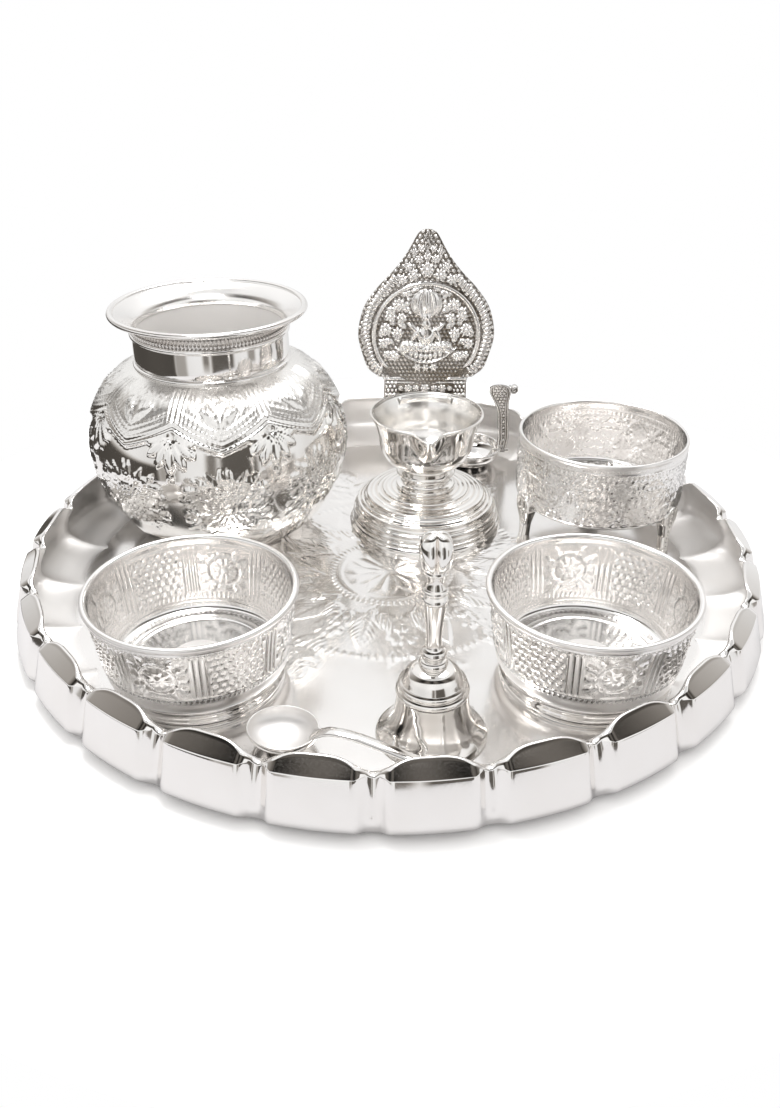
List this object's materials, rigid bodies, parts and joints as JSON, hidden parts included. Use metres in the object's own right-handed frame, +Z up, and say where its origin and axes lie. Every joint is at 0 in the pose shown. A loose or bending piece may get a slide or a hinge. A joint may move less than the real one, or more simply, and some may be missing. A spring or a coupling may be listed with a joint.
{
  "type": "puja thali",
  "caption": "Round silver tray with a lobed wall, set for worship with a water pot, a standing oil lamp with a pointed back plate, small bowls, a hand bell, a spoon and a camphor burner",
  "frame": {"origin": "the middle of the tray's underside, on the surface that it stands on", "axes": "+Z is up; -Y is the front of the thali, where the bell and the spoon lie; +X is to the viewer's right"},
  "size_m": [0.2794, 0.279, 0.1172],
  "materials": {
    "polished_silver": "mirror polished silver plate",
    "embossed_silver": "polished silver plate with raised and stippled patterns",
    "cast_silver": "polished cast silver",
    "fastener_steel": "plain bright steel"
  },
  "bodies": {
    "tray": {"thali_tray": "polished_silver"},
    "kalash": {"kalash_body": "embossed_silver", "kalash_neck_band": "polished_silver", "kalash_mouth": "polished_silver"},
    "oil_lamp": {"lamp_foot": "cast_silver", "lamp_stem": "cast_silver", "lamp_bowl": "cast_silver", "lamp_back_plate": "embossed_silver", "lamp_plate_rivets": "fastener_steel", "lamp_tie_bolt": "fastener_steel", "lamp_tie_washer": "fastener_steel"},
    "left_offering_bowl": {"left_bowl": "embossed_silver", "left_bowl_foot_ring": "polished_silver"},
    "right_offering_bowl": {"right_bowl": "embossed_silver", "right_bowl_foot_ring": "polished_silver"},
    "three_legged_bowl": {"footed_bowl": "embossed_silver", "footed_bowl_leg_left": "cast_silver", "footed_bowl_leg_right": "cast_silver", "footed_bowl_leg_rear": "cast_silver"},
    "bell": {"bell_dome": "cast_silver", "bell_handle": "cast_silver", "bell_clapper_hanger": "fastener_steel"},
    "clapper": {"bell_clapper": "fastener_steel"},
    "spoon": {"offering_spoon": "polished_silver"},
    "camphor_burner": {"camphor_dish": "polished_silver", "camphor_handle": "cast_silver", "camphor_handle_rivet": "fastener_steel"}
  },
  "joints": [
    {"name": "kalash_lift", "type": "slide", "parent": "tray", "child": "kalash", "axis": [0, 0, 1], "range_m": [0, 0.08]},
    {"name": "lamp_lift", "type": "slide", "parent": "tray", "child": "oil_lamp", "axis": [0, 0, 1], "range_m": [0, 0.08]},
    {"name": "left_bowl_lift", "type": "slide", "parent": "tray", "child": "left_offering_bowl", "axis": [0, 0, 1], "range_m": [0, 0.06]},
    {"name": "right_bowl_lift", "type": "slide", "parent": "tray", "child": "right_offering_bowl", "axis": [0, 0, 1], "range_m": [0, 0.06]},
    {"name": "footed_bowl_lift", "type": "slide", "parent": "tray", "child": "three_legged_bowl", "axis": [0, 0, 1], "range_m": [0, 0.06]},
    {"name": "bell_lift", "type": "slide", "parent": "tray", "child": "bell", "axis": [0, 0, 1], "range_m": [0, 0.08]},
    {"name": "clapper_swing", "type": "hinge", "parent": "bell", "child": "clapper", "pos_m": [0.0128, -0.0945, 0.0206], "axis": [1, 0, 0], "range_deg": [-36, 36]},
    {"name": "spoon_lift", "type": "slide", "parent": "tray", "child": "spoon", "axis": [0, 0, 1], "range_m": [0, 0.05]},
    {"name": "burner_lift", "type": "slide", "parent": "tray", "child": "camphor_burner", "axis": [0, 0, 1], "range_m": [0, 0.05]}
  ]
}
